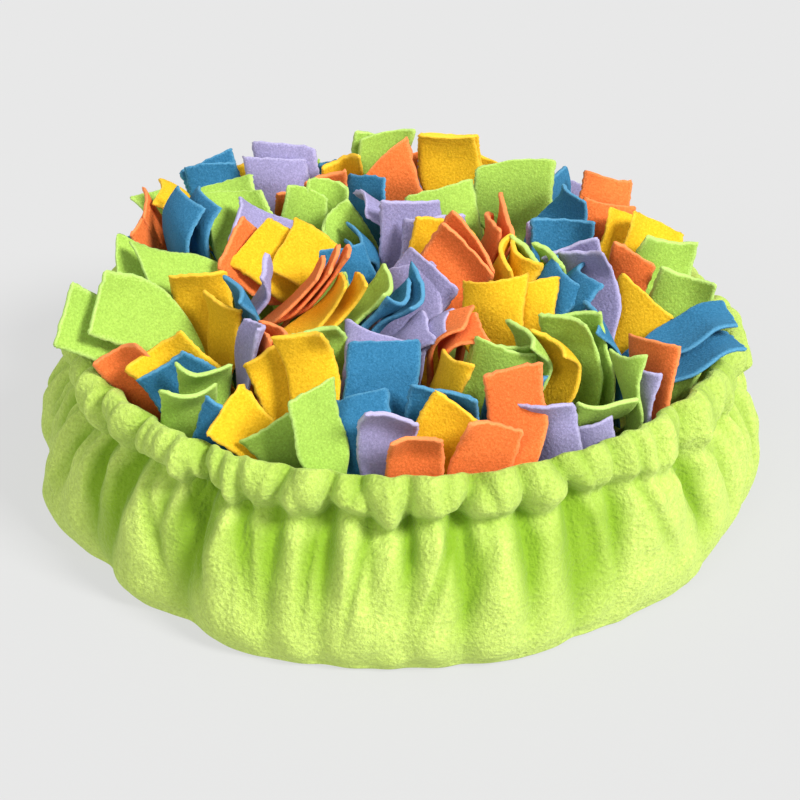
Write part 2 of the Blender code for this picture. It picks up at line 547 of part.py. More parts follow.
def settle_knot(rows, state, others, cover_tree):
    """Move a knot's root and free ends a little at a time until nothing of it meets a neighbour."""
    own = [strip_trees(strip, NEAR) for strip in knot_layout(rows, *state)[2]]
    near = [other for other in others if any(not apart(tree, other) for tree in own)]
    known = {}

    def tested(strip):
        """A strip's trees and how many of its faces meet the cover or other knots."""
        key = (*strip["start"], *strip["tip"], *strip["axes"][0], *strip["axes"][2], *strip["across"])
        if key not in known:
            trees = strip_trees(strip, CLEARANCE)
            hits = len(trees[0].overlap(cover_tree))
            hits += sum(len(trees[0].overlap(other[0])) for other in near if not apart(trees, other))
            known[key] = (trees, hits)
        return known[key]

    def hits_of(root_move, moves):
        results = [tested(strip) for strip in knot_layout(rows, root_move, moves)[2]]
        hits = sum(result[1] for result in results)
        for i, (trees, _) in enumerate(results):
            hits += sum(len(trees[3].overlap(mate[3])) for mate, _ in results[i + 1:])
        return hits

    root_move, moves = state
    best = hits_of(root_move, moves)
    scale = 1.0
    while best and scale <= MOVE_SCALES:
        options = [(with_step(root_move, k, sign * ROOT_STEP * scale, ROOT_MOVE_LIMIT), moves)
                   for k in (0, 1) for sign in (1, -1)]
        for number, move in enumerate(moves):
            for k, (step, limit) in enumerate(TIP_MOVES):
                for sign in (1, -1):
                    changed = list(moves)
                    changed[number] = with_step(move, k, sign * step * scale, limit)
                    options.append((root_move, tuple(changed)))
        scores = [hits_of(*option) for option in options]
        lowest = min(scores)
        if lowest < best:
            best = lowest
            root_move, moves = options[scores.index(lowest)]
            scale = 1.0
        else:
            scale += 1.0
    return best, (root_move, moves)


def shaken(state, chance):
    """A state with every move changed by chance, within its limits."""
    root_move, moves = state
    limits = [limit * SHAKE_REACH for _, limit in TIP_MOVES]
    reach = ROOT_MOVE_LIMIT * SHAKE_REACH
    root_move = tuple(chance.uniform(-reach, reach) for _ in root_move)
    return root_move, tuple(tuple(chance.uniform(-limit, limit) for limit in limits) for _ in moves)


def planted_knots(cover_tree):
    """Settle all knots in turn, then again those that still meet a neighbour."""
    knots = {}
    for row in STRIPS:
        strip = dict(zip(STRIP_COLUMNS, row))
        knots.setdefault(strip["knot"], []).append(strip)
    states = {n: ((0.0, 0.0), ((0.0,) * len(TIP_MOVES),) * len(rows)) for n, rows in knots.items()}
    chance = random.Random(SHAKE_SEED)
    trees = {}
    for settling_round in range(SETTLING_ROUNDS):
        touching = 0
        for n, rows in sorted(knots.items(), reverse=True):
            others = [t for m, group in trees.items() if m != n for t in group]
            hits, states[n] = settle_knot(rows, states[n], others, cover_tree)
            for _ in range(SHAKES if hits and settling_round > 1 else 0):
                new_hits, new_state = settle_knot(rows, shaken(states[n], chance), others, cover_tree)
                if new_hits < hits:
                    hits, states[n] = new_hits, new_state
                if not hits:
                    break
            for strip in rows if hits and settling_round > 1 else ():
                strip["wide"] *= NARROWING
            trees[n] = [strip_trees(strip, 0.0) for strip in knot_layout(rows, *states[n])[2]]
            touching += hits > 0
        if settling_round and not touching:
            break
    return {n: knot_layout(rows, *states[n]) for n, rows in knots.items()}


def knot_object(name, layout, materials):
    """Closed mesh of one knot, each strip in its own fleece."""
    points, faces, colours = knot_mesh_data(layout)
    used = sorted(set(colours), key=colours.index)
    bm = bmesh.new()
    verts = [bm.verts.new(p) for p in points]
    for face, colour in zip(faces, colours):
        made = bm.faces.new([verts[i] for i in face])
        made.material_index = used.index(colour)
    bmesh.ops.recalc_face_normals(bm, faces=bm.faces[:])
    mesh = bpy.data.meshes.new(name)
    bm.to_mesh(mesh)
    bm.free()
    add_object(name, mesh, [materials[colour] for colour in used])


def main():
    clear_scene()
    materials = {colour: fleece("fleece_" + colour, rgb) for colour, rgb in COLOURS.items()}
    cover = add_object("cover", cover_mesh(), [fleece("fleece_cover", COLOURS["green"])])
    cover_tree = BVHTree.FromPolygons([v.co for v in cover.data.vertices],
                                      [tuple(p.vertices) for p in cover.data.polygons])
    for number, layout in planted_knots(cover_tree).items():
        knot_object(f"tuft_{number:02d}", layout, materials)


main()
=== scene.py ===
"""Snuffle mat: a gathered fleece bowl packed with tufts of cut fleece strips, on a pale floor."""
import math

import bmesh
import bpy
import numpy as np
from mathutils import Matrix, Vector


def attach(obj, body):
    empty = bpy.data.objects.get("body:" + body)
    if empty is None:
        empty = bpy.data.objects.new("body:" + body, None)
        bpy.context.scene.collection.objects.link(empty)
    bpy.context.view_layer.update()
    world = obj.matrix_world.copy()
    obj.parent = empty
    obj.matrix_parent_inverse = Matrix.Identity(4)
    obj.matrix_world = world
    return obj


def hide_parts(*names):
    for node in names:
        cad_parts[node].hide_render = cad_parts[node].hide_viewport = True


MM = 0.001

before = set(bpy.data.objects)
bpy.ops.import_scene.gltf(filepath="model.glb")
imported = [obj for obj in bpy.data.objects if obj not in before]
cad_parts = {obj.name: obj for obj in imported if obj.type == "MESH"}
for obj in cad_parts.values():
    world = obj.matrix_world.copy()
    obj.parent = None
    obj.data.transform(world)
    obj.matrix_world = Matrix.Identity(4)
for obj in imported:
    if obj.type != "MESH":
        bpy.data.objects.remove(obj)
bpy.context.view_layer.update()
bpy.ops.object.select_all(action="DESELECT")

# ---- sizes of the cover: a bowl of pebbled green fleece --------------------------------------------
# name, radius_mm, height_mm, fold_share, crease_share, steps: the outer side from floor to rim, then
# the inner side back down; steps is the number of fine rings from each row to the next
COVER_ROWS = [
    ("floor", 120, 0.0, 0.0, 0.0, 2),
    ("floor_edge", 187, 0.0, 0.20, 0.0, 6),
    ("turn", 200, 5.0, 0.45, 0.0, 7),
    ("belly_low", 205.5, 18.0, 0.60, 0.0, 7),
    ("belly", 205, 36.0, 0.75, 0.0, 7),
    ("wall", 202, 53.0, 0.90, 0.0, 7),
    ("neck", 195, 67.0, 1.0, 0.0, 8),
    ("stitch_line", 185, 77.0, 0.7, 0.3, 9),
    ("casing", 192.5, 89.0, 0.35, 1.0, 7),
    ("casing_top", 190.5, 102.0, 0.22, 1.0, 6),
    ("rim", 183, 109.0, 0.18, 1.0, 5),
    ("rim_inside", 176.5, 103.5, 0.18, 0.8, 4),
    ("casing_inside", 175.5, 90.0, 0.32, 0.5, 4),
    ("stitch_inside", 181.6, 76.5, 0.7, 0.3, 3),
    ("neck_inside", 191.6, 66.0, 1.0, 0.0, 3),
    ("wall_inside", 198.8, 52.2, 0.90, 0.0, 3),
    ("belly_inside", 202, 36.0, 0.75, 0.0, 3),
    ("belly_low_inside", 202.3, 18.8, 0.60, 0.0, 3),
    ("turn_inside", 197, 7.4, 0.45, 0.0, 3),
    ("floor_edge_inside", 186, 2.6, 0.20, 0.0, 2),
    ("floor_inside", 120, 2.5, 0.0, 0.0, 0),
]
RIM_ROW = [row[0] for row in COVER_ROWS].index("rim")
STITCH_HEIGHT = 77 * MM
RIM_HEIGHT = 109 * MM
LOWEST_INSIDE = 2.4           # mm, the inner side stays above the floor's cloth
FLOOR_CLOTH = 2.5 * MM
AROUND = 880                  # fine stations around the bowl

# slow swells of the whole cover: azimuth_deg, low_mm at the floor, high_mm at the rim, half_width_deg
SWELLS = [(-8, -1, 9, 32), (-88, 4, 2, 40), (-105, 5, 0, 9), (-70, 4, 1, 9), (-150, 0, 2, 20),
          (60, 2, 4, 25), (140, 2, 3, 25)]
# troughs of the gathered wall: azimuth_deg, depth_mm, half_width_deg, reach, slant_deg
FOLDS = [
    (-178, 13, 2.2, 0.4, 2), (-168, 18, 2.5, 0.7, -3), (-158, 12, 1.9, 0.3, 2),
    (-149, 18, 2.4, 0.7, 3), (-140, 19, 2.5, 0.8, -2), (-131.5, 9, 1.6, 0.1, 2),
    (-123.5, 23, 3.0, 0.8, -2), (-116, 9, 1.5, 0.1, 1), (-110.5, 18, 2.4, 0.7, 1),
    (-101.5, 18, 2.2, 0.6, 0), (-94.5, 11, 1.6, 0.2, 1), (-88, 15, 1.9, 0.5, -1),
    (-79.5, 19, 2.4, 0.8, -1), (-69.5, 18, 2.3, 0.6, -1), (-61, 20, 2.6, 0.9, -1),
    (-53.5, 16, 2.1, 0.5, -2), (-37.5, 17, 2.6, 0.8, 3), (-26, 11, 2.1, 0.4, 0),
    (-16, 12, 2.3, 0.8, -3), (-5, 10, 2.1, 0.4, 2), (7, 12, 2.4, 0.7, -3),
    (18, 13, 2.1, 0.4, 2), (29, 17, 2.4, 0.8, -3), (40, 14, 2.1, 0.4, 3),
    (51, 17, 2.2, 0.7, -2), (62, 13, 2.0, 0.3, 3), (73, 18, 2.4, 0.8, -3),
    (84, 14, 2.1, 0.5, 2), (95, 17, 2.2, 0.7, -2), (106, 13, 2.0, 0.3, 3),
    (117, 18, 2.4, 0.9, -3), (128, 14, 2.1, 0.4, 2), (139, 17, 2.4, 0.8, 3),
    (150, 13, 2.0, 0.3, -2), (161, 17, 2.2, 0.7, 3), (171, 13, 2.0, 0.4, -2),
]
FOLD_SHARPNESS = 1.4          # 2 is a round valley, 1 a sharp one
LOW_SPREAD = 1.6              # a trough's width at the floor, against its width at the stitch line
SHADE_START = 5 * MM         # folds deeper than this are painted darker, as painted shade
SHADE_FULL_DEPTH = 11 * MM        # and this much deeper the darkest

# creases of the casing, one above each trough and one halfway to the next, widths in degrees
DEEP_TROUGH = 16.0            # mm, a trough that makes a full crease in the casing
CREASE_DEPTH = 8.0 * MM
CREASE_WIDTH = 1.5
CREASE_SHARPNESS = 1.15
MID_CREASE = 0.55             # the halfway ones, as a share of a full crease
CREASE_CHANGE = 0.5           # how much those differ, as a share
CREASE_LEAN = 3.2             # degrees that a crease leans over the casing's height, at most
LEAN_HINGE = 0.4              # share of the casing's height that the leaning turns about
SHORT_CREASE = 0.30           # little creases between the others, as a share
SHORT_WIDTH = 0.8
SHORT_SHARPNESS = 1.2
SHORT_PLACES = (0.78, 0.25)   # where they lie on the way from one trough to the next, by turns
# the creases' unevenness is a sine for each thing, stepping on by so many radians at each trough
MID_STEP, LEAN_STEP, CROSS_STEP, WIDTH_STEP, SHORT_STEP = 2.3, 1.7, 2.9, 3.1, 2.1
RIM_DIP = 6.0 * MM            # how much lower the rim is in a full crease
BACK_SAG = 16 * MM            # how much lower the rim lies at the back and, less so, at the sides
SAG_START = -0.35             # sine of the azimuth where the sag begins
SAG_SPAN = 0.7                # and by how much it rises to the full sag

# pleats and stitching; a wave around the bowl is: count, share, start, drift, drift_count,
# drift_start, where the drift makes its pace uneven, all angles in radians
GATHER_WAVES = [(97, 1.0, 0.0, 1.5, 9, 0.0), (61, 0.7, 0.0, 2.0, 6, 1.0)]
PLEAT_WAVES = [(43, 1.0, 0.0, 2.2, 5, 0.5), (71, 0.6, 0.0, 1.7, 8, 0.0)]
STITCH_WAVES = [(13, 1.0, 0.0, 2.0, 4, 0.0), (29, 0.7, 1.0, 0.0, 0, 0.0)]
GATHER_FULL, PLEAT_FULL = 1.7, 1.3    # height of the waves where a gather or a pleat is full
SMALL_GATHERS = 2.3 * MM      # little pleats that run out of the stitch line
GATHER_REACH = 13 * MM        # how far from it they fade
CASING_GATHERS = 0.6          # their share that stays in the casing
CASING_START = 12 * MM        # the height above the stitch line where it is reached
LONG_PLEATS = 3.4 * MM        # creased pleats of the wall below the stitching
PLEAT_MIDDLE = 58 * MM        # the height where they are deepest
PLEAT_REACH = 18 * MM         # and how far from there they fade
PLEAT_SHARPNESS = 1.6
PLEAT_WANDER = 5.0            # degrees that gathers wander on their way down, and pleats twice that
STITCH_GROOVE = 1.6 * MM      # how far the casing's stitching bites into the cloth
GROOVE_REACH = 2.2 * MM
STITCH_WANDER = 2.4 * MM      # how far the stitch line rises and dips
WANDER_REACH = 9 * MM
LOOSE_PLACE = (-38, 15)       # azimuth and half width, in degrees, of casing that is hardly drawn in
LOOSE_FILL = 6.5 * MM         # how far the cloth stands out there at the stitch line
LOOSE_REACH = 9 * MM
LOOSE_SHARE = 0.9             # share of the stitching that is lost there, and of a pleat that stays
INNER_SIDE = -0.5             # gathers and stitching on the inner side, against the outer side
DENTS = 2.2 * MM              # soft unevenness of the wall
DENT_LENGTH = 70 * MM
SMALL_DENTS = 0.35 * DENTS
SMALL_DENT_LENGTH = 22 * MM

# ---- sizes of the strips ---------------------------------------------------------------------------
CLOTH = 2.6 * MM
HEAD_HEIGHT = 8 * MM          # the pinched head at the foot of a tuft
FREE_LENGTH = 62 * MM         # the part of a strip that shows, with fine stations
TIP_LENGTH = 26 * MM          # the part whose corners curl
HIDDEN_STATIONS = 8
FREE_STATIONS = 40
TIP_STATIONS = (0.9, 0.35, 0.0)   # mm before the tip
ACROSS_COUNT = 15             # points across a strip
EDGE_SQUARENESS = 26          # power of the cloth's section: how square its cut edges are
CORNER = 0.9 * MM             # how round the cut corners are
TIP_THINNING = 0.6            # how much of the squared thickness is lost at the cut end
RAGGED = 0.28 * MM            # unevenness of the cut edges
FUZZY_END = 1.6 * MM          # the part of the cut end painted with the lighter fuzz colour, a painted highlight
WAIST = 0.035                 # how much a strip's width changes along it, as a share
WAIST_WAVE = 9 * MM
CUP = 5.5 * MM                # how hollow the strips of a tuft are across, at most, either way
OWN_CUP = 1.2 * MM            # and what each strip adds of its own
BOW = 2.5 * MM                # how far they bow
FOLD = (3.5 * MM, 9.0 * MM)   # how far their ends fold over, where they do
FOLD_LENGTH = (14 * MM, 22 * MM)
CORNER_CURL = (2.0 * MM, 10.0 * MM)
SKEW = 3.6 * MM               # how far a cut end is out of square, at most
DRIFT = 3.0 * MM              # how far all strips drift together, in slow waves
DRIFT_LENGTH = 75 * MM
DRIFT_LIMIT = 168 * MM        # no drift outside this radius, where the casing is near
DRIFT_FADE = 20 * MM
DRIFT_RISE = 60 * MM          # the height where the drift is full
TIP_LINE = 115 * MM           # below this height the strips lie in each other's shade
# tuft's number, azimuth that its first strip faces, and its strips' colours from back to front
TUFTS = [
    (1, 355, "gy"), (2, 265, "ybb"), (3, 270, "gll"), (4, 270, "byoo"), (5, 270, "ogg"),
    (6, 270, "lyy"), (7, 272, "yobg"), (8, 268, "loo"), (9, 282, "gyy"), (10, 285, "ogg"),
    (11, 350, "boo"), (12, 205, "bb"), (13, 275, "gg"), (14, 262, "ggg"), (15, 240, "ob"),
    (16, 290, "lo"), (17, 180, "lbb"), (18, 282, "ll"), (19, 270, "g"), (20, 195, "yoyo"),
    (21, 268, "lb"), (22, 215, "b"), (23, 290, "yy"), (24, 278, "gl"), (25, 282, "bl"),
    (26, 188, "ooo"), (27, 190, "yy"), (28, 192, "bbg"), (29, 192, "ll"), (30, 255, "l"),
    (31, 250, "yoo"), (32, 248, "yy"), (33, 232, "gg"), (34, 205, "bb"), (35, 242, "ll"),
    (36, 268, "oy"), (37, 215, "bbg"), (38, 290, "gg"), (39, 266, "yy"), (40, 205, "bl"),
    (41, 288, "gg"), (42, 276, "oy"), (43, 290, "b"), (44, 292, "ggb"), (45, 195, "oo"),
    (46, 285, "yy"), (47, 280, "gg"), (48, 262, "gy"), (49, 270, "lbb"), (50, 270, "lo"),
    (51, 262, "by"), (52, 270, "oo"), (53, 272, "bl"), (54, 268, "ggy"), (55, 180, "oo"),
    (56, 230, "yg"), (57, 240, "bgg"), (58, 215, "ol"), (59, 205, "ggl"),
]

# ---- colours ---------------------------------------------------------------------------------------
# letter: strip colour's name, cloth colour, colour of its fuzz, which is also painted along the cut
# edges as a highlight
STRIP_COLOURS = {
    "g": ("green", (0.36, 0.58, 0.07), (0.56, 0.78, 0.22)),
    "y": ("yellow", (1.00, 0.53, 0.004), (1.00, 0.60, 0.06)),
    "o": ("orange", (0.92, 0.18, 0.028), (1.00, 0.34, 0.12)),
    "b": ("blue", (0.018, 0.165, 0.325), (0.12, 0.36, 0.56)),
    "l": ("lavender", (0.31, 0.28, 0.50), (0.54, 0.50, 0.74)),
}
COVER_COLOUR = (0.55, 0.72, 0.125)
COVER_FUZZ = (0.80, 0.97, 0.38)
PAINTED_SHADE_DARK = 0.5             # painted shade: deep in a fold the cloth is painted darker by this share
PAINTED_SHADE_SHOWN = 0.9            # how much of that shows at the deepest places
COVER_SHADE_RICH = 2.3              # power by which the cover's colour is richer in its painted shade
STRIP_SHADE_RICH = 1.5              # and the strips'
# how much painted shade each soft form of the cover gets
CREASE_PAINTED_SHADE, GROOVE_PAINTED_SHADE, GATHER_PAINTED_SHADE, PLEAT_PAINTED_SHADE = 0.55, 0.4, 0.3, 0.55


# ---- cloth materials -------------------------------------------------------------------------------
def fleece(name, cloth, fuzz_and_highlight, pebble, grain, depth, contrast, shade_richness):
    """Brushed fleece: pebbled pile, mottled colour, lighter fuzz along the cut edges as a painted
    highlight, and a darker, richer copy of its colour as painted shade.

    pebble, grain and depth are the size of a pebble, of the pile's grain and of its relief.
    """
    material = bpy.data.materials.new(name)
    material.use_nodes = True
    tree = material.node_tree
    nodes, links = tree.nodes, tree.links
    shader = nodes["Principled BSDF"]
    shader.inputs["Roughness"].default_value = 0.95
    shader.inputs["Specular IOR Level"].default_value = 0.2
    shader.inputs["Sheen Weight"].default_value = 0.35
    shader.inputs["Sheen Roughness"].default_value = 0.55
    shader.inputs["Sheen Tint"].default_value = (*fuzz_and_highlight, 1.0)
    place = nodes.new("ShaderNodeTexCoord")

    def pattern(kind, scale, **settings):
        """A texture of the piece's own coordinates."""
        made = nodes.new(kind)
        made.inputs["Scale"].default_value = scale
        for socket, value in settings.items():
            made.inputs[socket].default_value = value
        links.new(place.outputs["Object"], made.inputs["Vector"])
        return made

    def attribute(name):
        """A value that the mesh carries at its points."""
        made = nodes.new("ShaderNodeAttribute")
        made.attribute_name = name
        return made.outputs["Fac"]

    def combined(operation, *sources):
        """Values and plain numbers joined by a maths operation."""
        made = nodes.new("ShaderNodeMath")
        made.operation = operation
        for socket, source in enumerate(sources):
            if isinstance(source, float):
                made.inputs[socket].default_value = source
            else:
                links.new(source, made.inputs[socket])
        return made.outputs[0]

    def mixed(share, first, second):
        """The first colour, with a share of the second."""
        made = nodes.new("ShaderNodeMix")
        made.data_type = "RGBA"
        for socket, source in ((0, share), (6, first), (7, second)):
            if isinstance(source, tuple):
                made.inputs[socket].default_value = (*source, 1.0)
            else:
                links.new(source, made.inputs[socket])
        return made.outputs[2]

    def ranged(source, low, high, to_low, to_high):
        """A value moved from one range to another."""
        made = nodes.new("ShaderNodeMapRange")
        limits = {"From Min": low, "From Max": high, "To Min": to_low, "To Max": to_high}
        for socket, value in limits.items():
            made.inputs[socket].default_value = value
        links.new(source, made.inputs["Value"])
        return made.outputs["Result"]

    clumps = pattern("ShaderNodeTexVoronoi", 1.0 / pebble, Randomness=1.0)
    clumps.feature = "SMOOTH_F1"
    clumps = clumps.outputs["Distance"]
    pile = pattern("ShaderNodeTexNoise", 0.5 / grain, Detail=3.0, Roughness=0.65).outputs["Fac"]
    fibres = pattern("ShaderNodeTexNoise", 1.2 / grain, Detail=2.0, Roughness=0.7).outputs["Fac"]

    # the mottled tone follows the bump: lighter on raised pile and fibres, darker in the pebbles'
    # pits; painted light and shade along with the fleece's own uneven tone
    dark = tuple((1.0 - contrast) * c for c in cloth)
    light = tuple(min(1.0, 1.12 * c + 0.02) for c in cloth)
    # a darker, richer copy of the cloth colour, used as painted shade
    shade = tuple(PAINTED_SHADE_DARK * max(cloth) * (c / max(cloth)) ** shade_richness for c in cloth)
    tone = mixed(ranged(pile, 0.30, 0.70, 0.0, 1.0), dark, light)
    tone = mixed(ranged(clumps, 0.25, 0.75, 0.0, 0.45), tone, dark)
    tone = mixed(ranged(fibres, 0.45, 0.72, 0.0, 0.22), tone, fuzz_and_highlight)
    # painted highlight: lighter fuzz colour along the cut edges, made ragged by the pile
    ragged = combined("ADD", attribute("edge_highlight"), pile)
    tone = mixed(ranged(ragged, 0.75, 1.45, 0.0, 0.7), tone, fuzz_and_highlight)
    # painted shade: mix to that darker copy where the mesh asks for shade
    tone = mixed(ranged(attribute("painted_shade"), 0.0, 1.0, 0.0, PAINTED_SHADE_SHOWN), tone, shade)
    links.new(tone, shader.inputs["Base Color"])

    relief = combined("MULTIPLY_ADD", clumps, -0.7, pile)
    relief = combined("MULTIPLY_ADD", fibres, 0.35, relief)
    bump = nodes.new("ShaderNodeBump")
    bump.inputs["Strength"].default_value = 0.8
    bump.inputs["Distance"].default_value = depth
    links.new(relief, bump.inputs["Height"])
    links.new(bump.outputs["Normal"], shader.inputs["Normal"])
    return material


# ---- helpers for shapes ----------------------------------------------------------------------------
def smooth(share):
    """Ease from 0 to 1."""
    share = np.clip(share, 0.0, 1.0)
    return share * share * (3.0 - 2.0 * share)


def near(height, middle, reach):
    """1 at a middle height, fading away from it within a reach."""
    return math.exp(-0.5 * ((height - middle) / reach) ** 2)


def hump(angles, centre, half_width):
    """Soft hump of height 1 around an azimuth, all in degrees."""
    away = (angles - centre + 180.0) % 360.0 - 180.0
    return np.exp(-0.5 * (away / half_width) ** 2)


def valley(angles, centre, half_width, sharpness):
    """Trough of depth 1, half as deep at its half width, all in degrees."""
    away = np.abs((angles - centre + 180.0) % 360.0 - 180.0)
    return 0.5 ** ((away / half_width) ** sharpness)


def wandering(azimuths, degrees, count, start):
    """Azimuths in radians, pushed aside by up to so many degrees in a number of waves."""
    return np.radians(azimuths + degrees * np.sin(np.radians(count * azimuths + start)))


def uneven_wave(turn, waves):
    """Sum of waves around the bowl."""
    return sum(share * np.sin(count * turn + start + drift * np.sin(drift_count * turn + drift_start))
               for count, share, start, drift, drift_count, drift_start in waves)


def soft_noise(points, wave, seed):
    """Smooth unevenness of a wave length in metres, about -1 to 1, the same each run."""
    chance = np.random.default_rng(seed)
    total = np.zeros(points.shape[:-1])
    for _ in range(8):
        heading = chance.normal(size=3)
        heading /= np.linalg.norm(heading)
        turns = 2.0 * math.pi / (wave * chance.uniform(0.7, 1.5))
        total += np.sin(points @ heading * turns + chance.uniform(0.0, 2.0 * math.pi))
    return total / 3.0


def eased(knots, values, at):
    """Values at places along a line, on smooth curves through the given ones."""
    knots, values = np.asarray(knots, float), np.asarray(values, float)
    slopes = np.gradient(values, knots, axis=0)
    i = np.clip(np.searchsorted(knots, at, side="right") - 1, 0, len(knots) - 2)
    span = (knots[i + 1] - knots[i])
    s = (at - knots[i]) / span
    if values.ndim > 1:
        s, span = s[:, None], span[:, None]
    return (values[i] * (2 * s ** 3 - 3 * s ** 2 + 1) + slopes[i] * span * (s ** 3 - 2 * s ** 2 + s)
            + values[i + 1] * (3 * s ** 2 - 2 * s ** 3) + slopes[i + 1] * span * (s ** 3 - s ** 2))


def unit(vectors):
    """Vectors of length 1."""
    return vectors / np.linalg.norm(vectors, axis=-1, keepdims=True)


def band_faces(low, high, around):
    """Quads between two rings of points, given by their first points."""
    return [(low + i, low + (i + 1) % around, high + (i + 1) % around, high + i)
            for i in range(around)]


def cloth_piece(name, points, faces, edges, shade_amounts, face_materials, materials):
    """A finished piece, with how near each point is to a cut edge, for the painted edge highlight, and
    how much painted shade each point gets.
    """
    mesh = bpy.data.meshes.new(name)
    mesh.from_pydata([tuple(p) for p in points], [], faces)
    for material in materials:
        mesh.materials.append(material)
    mesh.polygons.foreach_set("material_index", face_materials)
    mesh.attributes.new("edge_highlight", "FLOAT", "POINT").data.foreach_set("value", edges)
    mesh.attributes.new("painted_shade", "FLOAT", "POINT").data.foreach_set("value", shade_amounts)
    mesh.shade_smooth()
    piece = bpy.data.objects.new(name, mesh)
    bpy.context.scene.collection.objects.link(piece)
    mesh.update()
    return piece


# ---- cover -----------------------------------------------------------------------------------------
def fold_depth(azimuths, height_share, share):
    """How far the gathered folds draw the wall in."""
    depth = np.zeros_like(azimuths)
    spread = LOW_SPREAD + (1.0 - LOW_SPREAD) * height_share
    for centre, deep, half_width, reach, slant in FOLDS:
        left = reach + (1.0 - reach) * smooth(height_share)
        place = centre + slant * (1.0 - height_share)
        depth += deep * MM * left * valley(azimuths, place, half_width * spread, FOLD_SHARPNESS)
    return depth * share


def crease(azimuths, casing_up):
    """How far the casing is drawn in at its uneven creases, which lean either way on their way up."""
    drawn = np.zeros_like(azimuths)
    for i, (centre, deep, _, _, _) in enumerate(FOLDS):
        following = FOLDS[(i + 1) % len(FOLDS)][0]
        gap = (following - centre) % 360.0
        leaning = CREASE_LEAN * math.sin(LEAN_STEP * i) * (casing_up - LEAN_HINGE)
        crossing = CREASE_LEAN * math.sin(CROSS_STEP * i + 1.0) * (casing_up - LEAN_HINGE)
        wide = CREASE_WIDTH * (0.8 + 0.4 * math.sin(WIDTH_STEP * i) ** 2)
        lesser = MID_CREASE * (1.0 + CREASE_CHANGE * math.sin(MID_STEP * i))
        little = SHORT_CREASE * (0.5 + 0.5 * math.sin(SHORT_STEP * i))
        middle = centre + gap / 2.0 + crossing
        at_side = centre + gap * SHORT_PLACES[i % 2] + crossing
        drawn += deep / DEEP_TROUGH * valley(azimuths, centre + leaning, wide, CREASE_SHARPNESS)
        drawn += lesser * valley(azimuths, middle, CREASE_WIDTH, CREASE_SHARPNESS)
        drawn += little * valley(azimuths, at_side, SHORT_WIDTH, SHORT_SHARPNESS)
    return drawn


def small_gathers(azimuths, down):
    """Little uneven pleats that start at the stitch line and wander as they run down, -1 to 1."""
    turn = wandering(azimuths, PLEAT_WANDER * down, 5, 0.0)
    beat = 0.6 + 0.4 * np.sin(7 * turn + 1.0) * np.sin(4 * turn + 0.3)
    return beat * uneven_wave(turn, GATHER_WAVES) / GATHER_FULL


def long_pleats(azimuths, up, down, loose):
    """Uneven creased pleats of the wall, with narrow valleys, about -1 to 0."""
    turn = wandering(azimuths, 2.0 * PLEAT_WANDER * down, 4, 60.0)
    deep = np.clip(uneven_wave(turn, PLEAT_WAVES) / PLEAT_FULL, 0.0, 1.0) ** PLEAT_SHARPNESS
    shown = near(up, PLEAT_MIDDLE, PLEAT_REACH)
    if up > PLEAT_MIDDLE:
        shown = shown + (LOOSE_SHARE - shown) * loose
    return -deep * shown


def cover_ring(azimuths, radius, height, fold_share, crease_share, outside):
    """One fine ring of the cover: its points, and how much painted shade each gets in its folds,
    creases and grooves.
    """
    turn = np.radians(azimuths)
    outwards = np.stack([np.cos(turn), np.sin(turn), 0 * turn], axis=-1)
    side = 1.0 if outside else INNER_SIDE
    up = height * MM
    rim_share = up / RIM_HEIGHT
    casing_up = float(np.clip((up - STITCH_HEIGHT) / (RIM_HEIGHT - STITCH_HEIGHT), 0.0, 1.0))
    casing_share = float(smooth((up - STITCH_HEIGHT) / CASING_START))
    down = max(STITCH_HEIGHT - up, 0.0) / STITCH_HEIGHT

    swell = sum((low + (high - low) * rim_share) * hump(azimuths, centre, wide)
                for centre, low, high, wide in SWELLS)
    folded = fold_depth(azimuths, min(up / STITCH_HEIGHT, 1.0), fold_share)
    drawn = crease(azimuths, casing_up) * crease_share
    gathers = small_gathers(azimuths, down)
    near_stitch = near(up, STITCH_HEIGHT, GATHER_REACH)
    loose = hump(azimuths, *LOOSE_PLACE) * float(outside)
    pleats = long_pleats(azimuths, up, down, loose)
    groove = near(up, STITCH_HEIGHT, GROOVE_REACH) * (1.0 - LOOSE_SHARE * loose)

    reach = radius * MM + swell * MM * smooth(fold_share * 5.0) - folded - CREASE_DEPTH * drawn
    reach = reach + SMALL_GATHERS * gathers * (near_stitch + CASING_GATHERS * casing_share) * side
    reach = reach - STITCH_GROOVE * groove * side
    if outside:
        reach = reach + LONG_PLEATS * pleats
        reach = reach + LOOSE_FILL * loose * near(up, STITCH_HEIGHT, LOOSE_REACH)
    rise = up - RIM_DIP * drawn * smooth(4.0 * rim_share - 3.0)
    rise = rise - BACK_SAG * smooth((np.sin(turn) - SAG_START) / SAG_SPAN) * smooth(rim_share)
    wander = STITCH_WANDER * uneven_wave(turn, STITCH_WAVES)
    rise = rise + wander * near(up, STITCH_HEIGHT, WANDER_REACH)

    points = np.stack([reach * np.cos(turn), reach * np.sin(turn), rise], axis=-1)
    dents = (DENTS * soft_noise(points, DENT_LENGTH, 3)
             + SMALL_DENTS * soft_noise(points, SMALL_DENT_LENGTH, 4))
    points = points + outwards * (dents * float(smooth(fold_share * 2.0)))[:, None]
    # painted shade: darker colour deep in the folds, creases, stitch groove and pleat valleys, where
    # shade falls; less on the gathers' ridges
    painted_shade = (smooth((folded - SHADE_START) / SHADE_FULL_DEPTH) + CREASE_PAINTED_SHADE * drawn * rim_share ** 2
              + GROOVE_PAINTED_SHADE * groove - GATHER_PAINTED_SHADE * gathers * near_stitch - PLEAT_PAINTED_SHADE * pleats)
    return points, np.clip(painted_shade, 0.0, 1.0)


